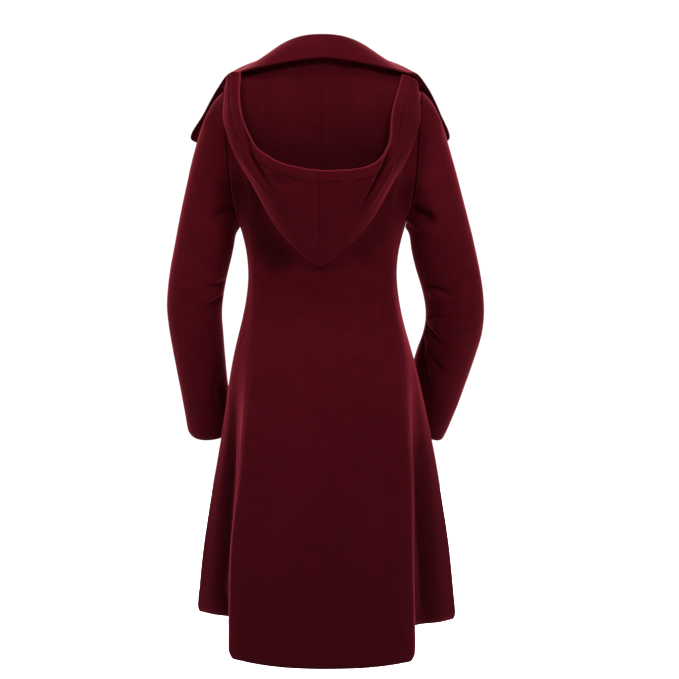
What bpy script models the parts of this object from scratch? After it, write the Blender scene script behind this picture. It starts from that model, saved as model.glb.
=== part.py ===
"""A hooded overcoat for a woman, filled out as it is when worn, with no wearer inside.

The front faces -Y and the wearer's left side is at +X. The origin is the centre of the neck
at the height of the nape seam, where the wearer carries the coat. Sizes are in millimetres
until a mesh is made, and then in metres.
"""

from functools import lru_cache
from math import cos, pi, radians, sin

import bmesh
import bpy
from mathutils import Vector
from mathutils.bvhtree import BVHTree

MM = 0.001

# Driving sizes
CLOTH = 2.4  # wall of the coating cloth
COLLAR_CLOTH = 3.0  # two layers, pressed together
SEAM_GAP = 0.3
LAP = 3.4  # from the middle of a wall to the middle of one that lies on it
OVERLAP_SHARE = 0.055  # how far each front runs past the centre, as a share of the half girth
BUTTON_RADIUS = 14.0
BUTTON_HEIGHTS = (-300.0, -385.0, -470.0, -555.0)
CHEST_HEIGHT = -292.0  # sections end here, and the yoke starts
SKIRT_SWAY = -7.0  # the skirt swings this far to the right
SKIRT_TILT = 7.0  # and its hem is this much higher on the left than the mean
HOOD_LEAN = 5.0  # the hood hangs this far to the left

# The half girth is a share from 0 at the centre back to 1 at the centre front.
BACK_SEAM = 0.26  # the long seam of the back, which becomes the edge of the skirt's back fold
SHOULDER_TIP_BACK = 0.235
SIDE_SEAM = 0.51
SHOULDER_TIP_FRONT = 0.70
NECK_SIDE_BACK = 0.10
NECK_SIDE_FRONT = 0.82
FRONT_EDGE = 1.0 + OVERLAP_SHARE
NECK_COLUMNS = (NECK_SIDE_FRONT, 0.84, 0.87, 0.90, 0.935, 0.97, 1.0)

# One half of each section: seam is the back fold, hollow the valley in front of it, side the
# widest point, dip and ridge the front's fold.
SECTION_GIRTHS = (0.0, BACK_SEAM, 0.36, SIDE_SEAM, 0.63, 0.785, 1.0)
SECTION_COLUMNS = (
    "z", "back_y", "seam_x", "seam_y", "hollow_x", "hollow_y", "side_x", "side_y",
    "dip_x", "dip_y", "ridge_x", "ridge_y", "front_y",
)
SECTIONS = [dict(zip(SECTION_COLUMNS, row)) for row in (
    (-1060.0, 184.0, 160.0, 158.0, 147.0, 74.0, 240.0, -22.0, 215.0, -98.0, 152.0, -172.0, -158.0),
    (-835.0, 163.0, 156.0, 140.0, 149.0, 68.0, 217.0, -12.0, 196.0, -84.0, 136.0, -152.0, -146.0),
    (-666.0, 142.0, 144.0, 119.0, 151.0, 63.0, 188.0, -6.0, 173.0, -72.0, 119.0, -134.0, -134.0),
    (-528.0, 118.0, 131.0, 90.0, 150.0, 52.0, 162.0, -4.0, 150.0, -62.0, 102.0, -112.0, -119.0),
    (-437.0, 93.0, 121.0, 60.0, 134.0, 30.0, 138.0, -6.0, 128.0, -54.0, 86.0, -94.0, -102.0),
    (-388.0, 87.0, 117.0, 50.0, 128.5, 24.0, 131.0, -7.0, 121.0, -52.0, 82.0, -92.0, -100.0),
    (-330.0, 101.0, 117.0, 64.0, 131.5, 34.0, 135.5, -6.0, 126.0, -58.0, 90.0, -110.0, -116.0),
    (-292.0, 110.0, 119.0, 74.0, 138.0, 42.0, 145.5, -4.0, 134.0, -62.0, 94.0, -120.0, -127.0),
)]

# Height of the hem round the half girth: long at the back, short at the front.
HEM_COLUMNS = ("girth", "z")
HEM = [dict(zip(HEM_COLUMNS, row)) for row in (
    (0.0, -1052.0), (0.10, -1048.0), (0.18, -1040.5), (BACK_SEAM, -1034.5), (0.31, -1014.0),
    (0.36, -999.0), (SIDE_SEAM, -991.0), (0.63, -978.0), (0.785, -955.0), (1.0, -942.0),
)]

# The top edge of the body, in stretches that end at corners: neckline, shoulder seam, armhole,
# shoulder seam again, and front neckline. The last three columns are the way the cloth runs there.
EDGE_COLUMNS = ("girth", "x", "y", "z", "run_x", "run_y", "run_z")
NECKLINE_BACK = (
    (0.0, 0.0, 64.0, 0.0, 0.0, -0.30, 0.95),
    (0.055, 46.0, 50.0, 3.0, -0.10, -0.50, 0.85),
    (NECK_SIDE_BACK, 72.0, 8.0, 10.0, 0.0, -1.0, 0.10),
)
SHOULDER_BACK = (
    (NECK_SIDE_BACK, 72.0, 8.0, 10.0, 0.0, -1.0, 0.10),
    (0.1675, 127.0, 4.0, -14.0, 0.0, -1.0, 0.05),
    (SHOULDER_TIP_BACK, 177.0, -2.0, -46.0, 0.0, -1.0, 0.0),
)
ARMHOLE = (
    (SHOULDER_TIP_BACK, 177.0, -2.0, -46.0, 0.0, -1.0, 0.0),
    (0.252, 175.0, 20.0, -60.0, 0.15, -0.85, 0.50),
    (0.277, 172.0, 39.0, -100.0, 0.30, -0.50, 0.80),
    (0.32, 167.5, 51.0, -172.0, 0.25, -0.30, 0.90),
    (0.39, 160.0, 46.0, -232.0, 0.20, -0.15, 0.97),
    (0.455, 151.0, 25.0, -271.0, 0.10, 0.0, 1.0),
    (SIDE_SEAM, 146.0, -4.0, -284.0, 0.05, 0.0, 1.0),
    (0.56, 149.0, -33.0, -268.0, 0.10, 0.10, 0.98),
    (0.605, 157.0, -49.0, -224.0, 0.20, 0.20, 0.95),
    (0.645, 166.0, -51.0, -162.0, 0.25, 0.35, 0.90),
    (0.675, 172.0, -39.0, -96.0, 0.25, 0.60, 0.75),
    (0.688, 175.0, -22.0, -60.0, 0.15, 0.85, 0.50),
    (SHOULDER_TIP_FRONT, 177.0, -2.0, -46.0, 0.0, 1.0, 0.0),
)
SHOULDER_FRONT = (
    (SHOULDER_TIP_FRONT, 177.0, -2.0, -46.0, 0.0, 1.0, 0.0),
    (0.76, 127.0, 4.0, -14.0, -0.20, 1.0, 0.10),
    (NECK_SIDE_FRONT, 72.0, 8.0, 10.0, -0.50, 0.85, 0.25),
)
NECKLINE_FRONT = (
    (NECK_SIDE_FRONT, 72.0, 8.0, 10.0, -0.50, 0.85, 0.25),
    (0.86, 68.0, -42.0, -22.0, -0.50, 0.50, 0.55),
    (0.91, 52.0, -84.0, -100.0, -0.40, 0.25, 0.80),
    (0.96, 27.0, -108.0, -178.0, -0.20, 0.12, 0.95),
    (1.0, 0.0, -121.0, -236.0, 0.0, 0.08, 1.0),
    (FRONT_EDGE, -30.0, -124.0, -268.0, 0.0, 0.08, 1.0),
)

# Rings of a sleeve below its armhole: the outer and inner points in the front view, the middle
# depth, half the depth, and how far the ring's back hangs below its front.
SLEEVE_COLUMNS = ("outer_x", "outer_z", "inner_x", "inner_z", "y", "depth", "drop")
SLEEVES = {
    "left": [dict(zip(SLEEVE_COLUMNS, row)) for row in (
        (204.0, -80.0, 155.0, -291.0, 0.0, 56.0, 0.0),
        (224.0, -136.0, 157.0, -302.0, -1.0, 59.0, 0.0),
        (250.0, -244.0, 163.0, -333.0, -4.0, 58.0, 2.0),
        (266.0, -324.0, 170.0, -361.0, -8.0, 56.0, 4.0),
        (277.0, -385.0, 179.0, -404.0, -15.0, 54.0, 8.0),
        (281.0, -428.0, 183.5, -440.0, -26.0, 52.0, 13.0),
        (277.0, -480.0, 182.0, -484.0, -42.0, 49.0, 17.0),
        (270.0, -528.0, 180.0, -526.0, -61.0, 46.0, 18.0),
        (262.0, -580.0, 177.0, -573.0, -84.0, 44.0, 18.0),
        (249.0, -668.0, 165.0, -659.0, -120.0, 42.0, 16.0),
    )],
    "right": [dict(zip(SLEEVE_COLUMNS, row)) for row in (
        (204.0, -80.0, 155.0, -292.0, 0.0, 56.0, 0.0),
        (223.0, -136.0, 157.0, -304.0, -1.0, 59.0, 0.0),
        (253.0, -244.0, 162.0, -336.0, -4.0, 59.0, 2.0),
        (273.0, -324.0, 170.0, -367.0, -8.0, 57.0, 4.0),
        (285.5, -382.0, 182.0, -406.0, -16.0, 55.0, 8.0),
        (291.5, -426.0, 188.0, -444.0, -27.0, 53.0, 13.0),
        (290.0, -472.0, 185.0, -477.0, -44.0, 50.0, 17.0),
        (279.0, -518.0, 175.0, -509.0, -66.0, 48.0, 18.0),
        (263.0, -570.0, 164.0, -547.0, -94.0, 46.0, 18.0),
        (244.0, -627.0, 153.0, -593.0, -122.0, 43.0, 18.0),
        (223.0, -676.0, 145.0, -634.0, -145.0, 41.0, 16.0),
    )],
}

# The collar from the centre back to the centre front: neck is the place on the neckline, crest
# the top of the roll, edge the outer edge, belly how far the fall arches between them, and lean
# how far the whole fall stands to the left.
COLLAR_COLUMNS = (
    "neck", "crest_x", "crest_y", "crest_z", "edge_x", "edge_y", "edge_z",
    "belly_x", "belly_y", "belly_z", "lean",
)
COLLAR = [dict(zip(COLLAR_COLUMNS, row)) for row in (
    (0.0, 0.0, 77.0, 43.0, 0.0, 97.0, 0.0, 0.0, 4.0, 3.0, 0.0),
    (0.16, 44.0, 68.0, 39.0, 58.0, 93.0, -6.0, 2.0, 4.0, 3.0, 0.0),
    (0.29, 77.0, 40.0, 27.0, 103.0, 79.0, -13.0, 3.0, 3.0, 4.0, 0.0),
    (0.37, 89.0, 6.0, 17.0, 150.0, 44.0, -19.0, 2.0, 1.0, 3.0, 0.0),
    (0.43, 85.0, -22.0, 13.0, 176.0, -4.0, -20.0, 1.0, -3.0, 7.0, 0.0),
    (0.50, 75.0, -58.0, -6.0, 207.0, -37.0, -65.0, 0.0, -10.0, 10.0, 0.0),
    (0.58, 62.0, -86.0, -48.0, 236.0, -52.0, -126.0, -4.0, -26.0, 10.0, 5.0),
    (0.62, 57.0, -96.0, -67.0, 217.0, -70.0, -134.0, 0.0, -27.0, 8.0, 4.0),
    (0.67, 50.0, -106.0, -90.0, 190.0, -88.0, -152.0, 2.0, -26.0, 6.0, 2.0),
    (0.75, 40.0, -116.0, -124.0, 143.0, -114.0, -184.0, 0.0, -14.0, 4.0, 0.0),
    (0.84, 27.0, -126.0, -166.0, 94.0, -133.0, -217.0, 0.0, -6.0, 2.0, 0.0),
    (0.91, 16.0, -131.0, -196.0, 52.0, -141.0, -246.0, 0.0, -4.0, 0.0, 0.0),
    (0.955, 9.0, -134.0, -216.0, 18.0, -146.0, -270.0, 0.0, -2.0, 0.0, 0.0),
)]

# The hood from its centre seam to its front corner: fold is the lowest line of the hanging bag,
# edge the face opening, both as places on the body with a distance off it.
HOOD_COLUMNS = (
    "neck", "fold_x", "fold_z", "inner_off", "turn", "edge_x", "edge_z", "edge_off", "belly",
)
HOOD = [dict(zip(HOOD_COLUMNS, row)) for row in (
    (0.0, 0.0, -361.0, 5.0, 5.0, 0.0, -206.0, 62.0, 16.0),
    (0.07, 29.0, -341.0, 5.0, 5.0, 30.0, -205.0, 60.0, 16.0),
    (0.14, 60.0, -311.0, 5.0, 5.0, 59.0, -201.0, 55.0, 15.0),
    (0.20, 86.0, -276.0, 5.0, 5.0, 83.0, -192.0, 46.0, 14.0),
    (0.25, 113.0, -226.0, 5.0, 5.0, 105.0, -172.0, 36.0, 12.0),
    (0.29, 140.0, -170.0, 6.0, 5.0, 120.0, -140.0, 28.0, 9.0),
    (0.33, 159.0, -106.0, 7.0, 5.0, 129.0, -92.0, 24.0, 6.0),
    (0.37, 163.0, -50.0, 7.0, 5.0, 136.0, -36.0, 21.0, 4.0),
)]

COLOURS = {"coating": (0.058, 0.0055, 0.0105, 1.0), "button": (0.035, 0.006, 0.009, 1.0)}


# Curves through tables

def spline(knots, values, at):
    """A smooth curve through values at uneven knots, read at one place."""
    last = len(knots) - 1
    i = max(0, min(last - 1, sum(knot <= at for knot in knots) - 1))
    rises = [(values[k + 1] - values[k]) / (knots[k + 1] - knots[k]) for k in range(last)]

    def slope(k):
        if k in (0, last):
            return rises[0 if k == 0 else last - 1]
        before, after = knots[k] - knots[k - 1], knots[k + 1] - knots[k]
        return (after * rises[k - 1] + before * rises[k]) / (before + after)

    step = knots[i + 1] - knots[i]
    t = (at - knots[i]) / step
    if not 0.0 <= t <= 1.0:
        end = i + (t > 1.0)
        return values[end] + slope(end) * (at - knots[end])
    return (
        (1 + 2 * t) * (1 - t) ** 2 * values[i] + t * (1 - t) ** 2 * step * slope(i)
        + t * t * (3 - 2 * t) * values[i + 1] + t * t * (t - 1) * step * slope(i + 1)
    )


def point_spline(knots, points, at):
    return Vector([spline(knots, [p[k] for p in points], at) for k in range(3)])


def fade(at, start, end):
    """0 before start, 1 after end, and smooth between them."""
    t = max(0.0, min(1.0, (at - start) / (end - start)))
    return t * t * (3 - 2 * t)


def column_of(table, name):
    return [row[name] for row in table]


# The body: sections up to the chest, then the yoke up to the top edge

def mirrored(values, sign):
    """Values of a half section with one more at each end, as its mirror image gives them."""
    return [sign * values[1], *values, sign * values[-2]]


SECTION_KNOTS = [-SECTION_GIRTHS[1], *SECTION_GIRTHS, 2.0 - SECTION_GIRTHS[-2]]
SECTION_HEIGHTS = column_of(SECTIONS, "z")
HEM_KNOTS = [-HEM[1]["girth"], *column_of(HEM, "girth"), 2.0 - HEM[-2]["girth"]]


def on_section(row, girth):
    xs = [0.0, row["seam_x"], row["hollow_x"], row["side_x"], row["dip_x"], row["ridge_x"], 0.0]
    ys = [row["back_y"], row["seam_y"], row["hollow_y"], row["side_y"], row["dip_y"], row["ridge_y"],
          row["front_y"]]
    return (
        spline(SECTION_KNOTS, mirrored(xs, -1), girth),
        spline(SECTION_KNOTS, mirrored(ys, 1), girth),
    )


def hem_height(girth):
    return spline(HEM_KNOTS, mirrored(column_of(HEM, "z"), 1), girth)


def top_edge(girth):
    """A place on the top edge, and the way the cloth runs there."""
    for stretch in (NECKLINE_BACK, SHOULDER_BACK, ARMHOLE, SHOULDER_FRONT, NECKLINE_FRONT):
        if girth <= stretch[-1][0] or stretch is NECKLINE_FRONT:
            break
    rows = [dict(zip(EDGE_COLUMNS, row)) for row in stretch]
    if stretch is NECKLINE_BACK:
        first = dict(rows[1])
        first.update(girth=-first["girth"], x=-first["x"], run_x=-first["run_x"])
        rows.insert(0, first)
    knots = column_of(rows, "girth")
    place = Vector([spline(knots, column_of(rows, axis), girth) for axis in "xyz"])
    run = Vector([spline(knots, column_of(rows, "run_" + axis), girth) for axis in "xyz"])
    return place, run


@lru_cache(None)
def body_column(girth):
    """The line up the body at one share of the half girth, with the length at each of its points."""
    section_points = [on_section(row, girth) for row in SECTIONS]
    hem = hem_height(girth)
    steps = 48

    def low(z):
        return Vector((
            spline(SECTION_HEIGHTS, [p[0] for p in section_points], z),
            spline(SECTION_HEIGHTS, [p[1] for p in section_points], z),
            z,
        ))

    points = [low(hem + (CHEST_HEIGHT - hem) * k / steps) for k in range(steps + 1)]
    chest = points[-1]
    rise = (chest - low(CHEST_HEIGHT - 1.0)).normalized()
    top, run = top_edge(girth)
    pull = (top - chest).length
    for k in range(1, steps + 1):
        t = k / steps
        points.append(
            chest * ((1 + 2 * t) * (1 - t) ** 2) + rise * (pull * t * (1 - t) ** 2)
            + top * (t * t * (3 - 2 * t)) + run * (pull * t * t * (t - 1))
        )
    lengths = [0.0]
    for before, after in zip(points, points[1:]):
        lengths.append(lengths[-1] + (after - before).length)
    return points, lengths


def half_body(girth, height):
    """A place on the left half: girth from the back, height from 0 at the hem to 1 at the top."""
    points, lengths = body_column(round(abs(girth), 6))
    at = height * lengths[-1]
    i = max(0, min(len(points) - 2, sum(length <= at for length in lengths) - 1))
    place = points[i].lerp(points[i + 1], (at - lengths[i]) / (lengths[i + 1] - lengths[i]))
    return Vector((-place.x if girth < 0 else place.x, place.y, place.z))


def body(side, girth, height):
    """The same on either side, 1 for the left and -1 for the right, with the skirt's swing."""
    place = half_body(girth, height)
    share, drop = abs(girth), -place.z
    loose = fade(share, BACK_SEAM, 0.45)
    at_back = fade(drop, 380.0, 500.0) * (1.0 - fade(drop, 700.0, 870.0))
    at_side = fade(drop, 437.0, 720.0) * (1.0 - fade(share, 0.8, 1.0))
    sway = SKIRT_SWAY * (at_back + (at_side - at_back) * loose)
    tilt = (0.35 * fade(share, 0.0, BACK_SEAM) + 0.65 * loose) * (1.0 - fade(share, 0.8, 1.0))
    rise = SKIRT_TILT * side * tilt * fade(drop, 600.0, 1000.0)
    return Vector((side * place.x + sway, place.y, place.z + rise))


def normal_of(surface, a, b, out=1.0, step=0.004):
    """The way out of a surface of two parameters, each from 0 to 1 or a little past it."""
    along = surface(a + step, b) - surface(a - step, b)
    up = surface(a, min(1.0, b + step)) - surface(a, max(0.0, b - step))
    return up.cross(along).normalized() * out


def off_body(girth, height, distance):
    """A place on the left half of the body, moved out by a distance."""
    return half_body(girth, height) + normal_of(half_body, girth, height) * distance


def spot(x, z, girth, height):
    """The girth and height at which the body passes x and z, found from a first guess."""
    step = 0.002
    for _ in range(30):
        here = half_body(girth, height)
        by_girth = (half_body(girth + step, height) - here) / step
        by_height = (half_body(girth, height - step) - here) / -step
        det = by_girth.x * by_height.z - by_height.x * by_girth.z
        dx, dz = x - here.x, z - here.z
        girth += 0.7 * (dx * by_height.z - by_height.x * dz) / det
        height += 0.7 * (by_girth.x * dz - dx * by_girth.z) / det
        height = min(height, 1.0)
    return girth, height


# The collar stands on the neckline and falls over

NECK_SIDE = 0.35  # where the side of the neck is on the neckline, from 0 at the nape to 1 in front


def neckline(place):
    """The body's top edge along the neck, straight between the panels' own columns."""
    if place < NECK_SIDE:
        girth, columns = NECK_SIDE_BACK * place / NECK_SIDE, (0.0, 0.05, NECK_SIDE_BACK)
    else:
        girth = NECK_SIDE_FRONT + (1.0 - NECK_SIDE_FRONT) * (place - NECK_SIDE) / (1.0 - NECK_SIDE)
        columns = NECK_COLUMNS
    last = max(k for k, column in enumerate(columns[:-1]) if column <= girth)
    start, end = columns[last], columns[last + 1]
    return top_edge(start)[0].lerp(top_edge(end)[0], (girth - start) / (end - start))


COLLAR_CORNER = 0.229  # where the collar passes the side of the neck
ACROSS_COLLAR = (0.0, 0.2, 0.4, 0.7, 1.0)  # seam, stand, crest, fall, edge


@lru_cache(None)
def collar_lines():
    """Five lines along the collar, each a list of places from the centre back to the front."""
    lines = [[] for _ in ACROSS_COLLAR]
    for row in COLLAR:
        crest = Vector((row["crest_x"], row["crest_y"], row["crest_z"]))
        edge = Vector((row["edge_x"], row["edge_y"], row["edge_z"]))
        belly = Vector((row["belly_x"], row["belly_y"], row["belly_z"]))
        foot = neckline(row["neck"])
        rise = (crest - foot).normalized()
        foot = foot + rise * (2.0 + 1.2 * fade(row["neck"], 0.12, 0.3))
        stand = foot.lerp(crest, 0.55)
        for line, place in zip(lines, (foot, stand, crest, crest.lerp(edge, 0.5) + belly, edge)):
            line.append(place)
    for line in lines:
        line.insert(0, Vector((-line[1].x, line[1].y, line[1].z)))
    return lines


def collar(along, across):
    """A place on the collar: along from the centre back, across from the seam to the edge."""
    steps = [-1, *range(len(COLLAR))]
    at = abs(along) * (len(COLLAR) - 1)
    places = [point_spline(steps, line, at) for line in collar_lines()]
    place = point_spline(ACROSS_COLLAR, places, across)
    lean = spline(steps[1:], column_of(COLLAR, "lean"), at) * fade(across, 0.5, 1.0)
    if along < 0:
        place = Vector((-place.x, place.y - LAP * fade(-along, 0.5, 0.8), place.z))
    return place + Vector((lean, 0.0, 0.0))


# The hood hangs down the back as an open bag

ACROSS_HOOD = (0.0, 0.17, 0.34, 0.50, 0.55, 0.60, 0.80, 1.0)
HOOD_FOOT = 0.16  # how far up the collar the hood is sewn, and more of it at the side of the neck
HOOD_FOOT_RISE = 0.16


@lru_cache(None)
def hood_lines():
    """Eight lines along the hood, from the neck seam round the bag to the face opening."""
    lines = [[] for _ in ACROSS_HOOD]
    for row in HOOD:
        fold = spot(row["fold_x"], row["fold_z"], 0.15, 0.85)
        edge = spot(row["edge_x"], row["edge_z"], 0.15, 0.85)
        start = (NECK_SIDE_BACK * min(1.0, row["neck"] / NECK_SIDE), 1.0)
        inner, turn = row["inner_off"], row["turn"]
        share = collar_share(row["neck"])
        up = HOOD_FOOT + HOOD_FOOT_RISE * fade(row["neck"], 0.15, 0.3)
        foot = collar(share, up) + normal_of(collar, share, up) * LAP
        legs = [
            off_body(start[0] + (fold[0] - start[0]) * t, start[1] + (fold[1] - start[1]) * t, inner)
            for t in (0.35, 0.68, 0.96)
        ]
        low = off_body(*fold, inner + turn)
        down = (low - off_body(*start, inner)).normalized()
        outer = off_body(*fold, inner + 2 * turn) - down * turn * 0.8
        rim = off_body(*edge, row["edge_off"])
        belly = outer.lerp(rim, 0.5) + normal_of(half_body, *fold) * row["belly"]
        for line, place in zip(lines, (foot, *legs, low, outer, belly, rim)):
            line.append(place)
    for line in lines:
        line.insert(0, Vector((-line[1].x, line[1].y, line[1].z)))
    return lines


def collar_share(neck):
    """How far along the collar's own rows a place on the neckline is."""
    return spline(column_of(COLLAR, "neck"), [k / (len(COLLAR) - 1) for k in range(len(COLLAR))], neck)


def hood(side, along, across):
    """A place on one half of the hood, which hangs a little to the left."""
    at = along * (len(HOOD) - 1)
    places = [point_spline([-1, *range(len(HOOD))], line, at) for line in hood_lines()]
    place = point_spline(ACROSS_HOOD, places, across)
    at_fold = 0.6 * HOOD_LEAN * (1.0 - fade(along, 0.1, 0.5)) * fade(across, 0.0, 0.5)
    at_rim = HOOD_LEAN * (1.0 - fade(along, 0.2, 0.45) + 2.0 * fade(along, 0.5, 0.75))
    lean = at_fold + (at_rim - at_fold) * fade(across, 0.55, 1.0)
    return Vector((side * place.x + lean, place.y, place.z))


# Sleeves: rings from the armhole to the cuff

def armhole(turn):
    """The armhole, from 0 at the shoulder round the back and under the arm to 1 at the shoulder."""
    if turn <= 0.5:
        girth = SHOULDER_TIP_BACK + (SIDE_SEAM - SHOULDER_TIP_BACK) * turn * 2
    else:
        girth = SIDE_SEAM + (SHOULDER_TIP_FRONT - SIDE_SEAM) * (turn * 2 - 1)
    place, _ = top_edge(girth)
    out = Vector((1.0, 0.0, 0.0))
    if girth in (SHOULDER_TIP_BACK, SHOULDER_TIP_FRONT):
        out = Vector((0.6, 0.0, 0.8))
    else:
        out = normal_of(half_body, girth, 1.0)
        over = fade(place.z, -120.0, -46.0)
        out = out.lerp(Vector((0.6, 0.0, 0.8)), over).normalized()
    return place + out * LAP


def sleeve_ring(row, turn):
    outer = Vector((row["outer_x"], row["y"], row["outer_z"]))
    inner = Vector((row["inner_x"], row["y"], row["inner_z"]))
    to_back = Vector((0.0, row["depth"], -row["drop"]))
    angle = 2 * pi * turn
    return (outer + inner) / 2 + (outer - inner) / 2 * cos(angle) + to_back * sin(angle)


@lru_cache(None)
def sleeve_line(side_name, turn):
    rings = SLEEVES[side_name]
    points = [armhole(turn % 1.0), *[sleeve_ring(row, turn) for row in rings]]
    knots = [0.0]
    for before, after in zip(points, points[1:]):
        knots.append(knots[-1] + max(1.0, (after - before).length))
    return points, [knot / knots[-1] for knot in knots]


def sleeve(side_name, turn, down):
    points, knots = sleeve_line(side_name, round(turn % 1.0, 6))
    return point_spline(knots, points, down)


# Making meshes

def collection_of(name):
    made = bpy.data.collections.new(name)
    bpy.context.scene.collection.children.link(made)
    return made


def material_of(name, roughness):
    material = bpy.data.materials.new(name)
    material.use_nodes = True
    shader = material.node_tree.nodes["Principled BSDF"]
    shader.inputs["Base Color"].default_value = COLOURS[name]
    shader.inputs["Roughness"].default_value = roughness
    material.diffuse_color = COLOURS[name]
    return material


def trim(grid, ends, closed):
    """Draws the edges of a grid in by half a seam, at those ends of it that are sewn to something."""
    def drawn_in(edge, inside):
        return [a + (b - a).normalized() * (SEAM_GAP / 2) for a, b in zip(edge, inside)]

    if "low" in ends:
        grid[0] = drawn_in(grid[0], grid[1])
    if "high" in ends:
        grid[-1] = drawn_in(grid[-1], grid[-2])
    if not closed:
        for row in grid:
            if "start" in ends:
                row[0] = row[0] + (row[1] - row[0]).normalized() * (SEAM_GAP / 2)
            if "end" in ends:
                row[-1] = row[-1] + (row[-2] - row[-1]).normalized() * (SEAM_GAP / 2)


def grid_of(surface, across, up):
    return [[surface(a, b) for a in across] for b in up]


def normals_of(surface, across, up, out):
    return [[normal_of(surface, a, b, out) for a in across] for b in up]


def grid_normals(middle, out, at_start=None, closed=False):
    """The way out at each place of a grid. at_start is the way along its first line."""
    last_row, last = len(middle) - 1, len(middle[0]) - 1
    made = []
    for j, row in enumerate(middle):
        made.append([])
        for i in range(len(row)):
            along = row[min(i + 1, last)] - row[max(i - 1, 0)]
            if closed:
                along = row[(i + 1) % len(row)] - row[i - 1]
            if i == 0 and at_start:
                along = at_start
            up = middle[min(j + 1, last_row)][i] - middle[max(j - 1, 0)][i]
            made[j].append(up.cross(along).normalized() * out)
    return made


def wall(name, middle, normals, thickness=CLOTH, closed=False):
    """A closed wall of cloth, half its thickness either side of a grid of places."""
    mesh_parts = bmesh.new()
    outer, inner = [
        [[mesh_parts.verts.new((p + n * shift) * MM) for p, n in zip(row, row_normals)]
         for row, row_normals in zip(middle, normals)]
        for shift in (thickness / 2, -thickness / 2)
    ]
    rows, columns = len(middle), len(middle[0])
    spans = [(i, (i + 1) % columns) for i in range(columns if closed else columns - 1)]
    for i, k in spans:
        for layer in (outer, inner):
            for low, high in zip(layer, layer[1:]):
                mesh_parts.faces.new((low[i], low[k], high[k], high[i]))
        for j in (0, rows - 1):
            mesh_parts.faces.new((outer[j][i], outer[j][k], inner[j][k], inner[j][i]))
    if not closed:
        for i in (0, columns - 1):
            for j in range(rows - 1):
                mesh_parts.faces.new((outer[j][i], outer[j + 1][i], inner[j + 1][i], inner[j][i]))
    bmesh.ops.recalc_face_normals(mesh_parts, faces=mesh_parts.faces)
    mesh = bpy.data.meshes.new(name)
    mesh_parts.to_mesh(mesh)
    mesh_parts.free()
    skins[name] = (middle, normals, spans)
    return finish(name, mesh, "coating")


def skin_of(*names):
    """The middle surface of some walls, facing out, to lay other cloth on."""
    places, faces = [], []
    for name in names:
        middle, normals, spans = skins[name]
        first, columns = len(places), len(middle[0])
        places += [p for row in middle for p in row]
        for j in range(len(middle) - 1):
            for i, k in spans:
                corners = [(j, i), (j, k), (j + 1, k), (j + 1, i)]
                a, b, c, _ = [middle[row][column] for row, column in corners]
                if (b - a).cross(c - a).dot(normals[j][i]) < 0:
                    corners.reverse()
                faces.append([first + row * columns + column for row, column in corners])
    return BVHTree.FromPolygons(places, faces)


def lifted(place, skin, distance, depth=8.0):
    """A place moved out of a skin, if it is nearer than a distance or a little way inside it."""
    near, normal, _, _ = skin.find_nearest(place)
    away = place - near
    height = away.dot(normal)
    beside = (away - normal * height).length
    if not -depth < height < distance or beside > distance:
        return place
    return place + normal * (distance - height)


def parted(place, skin, distance):
    """A place moved away from a skin, on the side where it already is."""
    near, normal, _, gap = skin.find_nearest(place)
    if gap >= distance or gap < 1e-6:
        return place
    return near + (place - near) * (distance / gap)


def finish(name, mesh, material):
    piece = bpy.data.objects.new(name, mesh)
    coat.objects.link(piece)
    mesh.materials.append(materials[material])
    mesh.shade_smooth()
    mesh.set_sharp_from_angle(angle=radians(60))
    return piece


def steps(start, end, count, ease=0.0):
    """Even places from start to end, or closer together near the end."""
    return [start + (end - start) * ((1 - ease) * k / count + ease * sin(pi / 2 * k / count))
            for k in range(count + 1)]


# The pieces

BODY_ROWS = steps(0.0, 1.0, 24, 0.25)
SHOULDER_SPAN = SHOULDER_TIP_BACK - NECK_SIDE_BACK
FRONT_SPAN = NECK_SIDE_FRONT - SHOULDER_TIP_FRONT
ARMHOLE_STEPS = (SHOULDER_TIP_BACK, 0.248, BACK_SEAM, 0.275, 0.30, 0.33, 0.36, 0.40, 0.4275, 0.455,
                 0.4825, SIDE_SEAM, 0.535, 0.56, 0.5825, 0.605, 0.6275, 0.65, 0.68)


def match_shoulder(normals, across):
    """Gives the top row the same way out on both sides of the shoulder seam."""
    def way_out(side, girth):
        return normal_of(lambda a, b: body(side, a, b), girth, 1.0, side)

    for i, girth in enumerate(across):
        share = (abs(girth) - NECK_SIDE_BACK) / SHOULDER_SPAN
        if abs(girth) > 0.5:
            share = (NECK_SIDE_FRONT - abs(girth)) / FRONT_SPAN
        if -0.001 < share < 1.001:
            side = 1 if normals[-1][i].x > 0 else -1
            behind = way_out(side, NECK_SIDE_BACK + SHOULDER_SPAN * share)
            before = way_out(side, NECK_SIDE_FRONT - FRONT_SPAN * share)
            normals[-1][i] = (behind + before).normalized()


def make_back():
    """The centre back, between the two long seams."""
    def surface(girth, height):
        return body(1 if girth >= 0 else -1, abs(girth), height)

    half = [0.05, NECK_SIDE_BACK, 0.145, 0.19, SHOULDER_TIP_BACK, BACK_SEAM - 0.012, BACK_SEAM]
    across = [-g for g in reversed(half)] + [0.0] + half
    middle = grid_of(surface, across, BODY_ROWS)
    trim(middle, ("start", "end", "high"), False)
    normals = normals_of(surface, across, BODY_ROWS, 1.0)
    match_shoulder(normals, across)
    wall("back", middle, normals)


def make_side_back(side, side_name):
    def surface(girth, height):
        return body(side, girth, height)

    across = [BACK_SEAM, 0.275, 0.30, 0.33, 0.36, 0.40, 0.455, SIDE_SEAM]
    middle = grid_of(surface, across, BODY_ROWS)
    trim(middle, ("start", "end"), False)
    wall(f"side_back_{side_name}", middle, normals_of(surface, across, BODY_ROWS, side))


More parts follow.
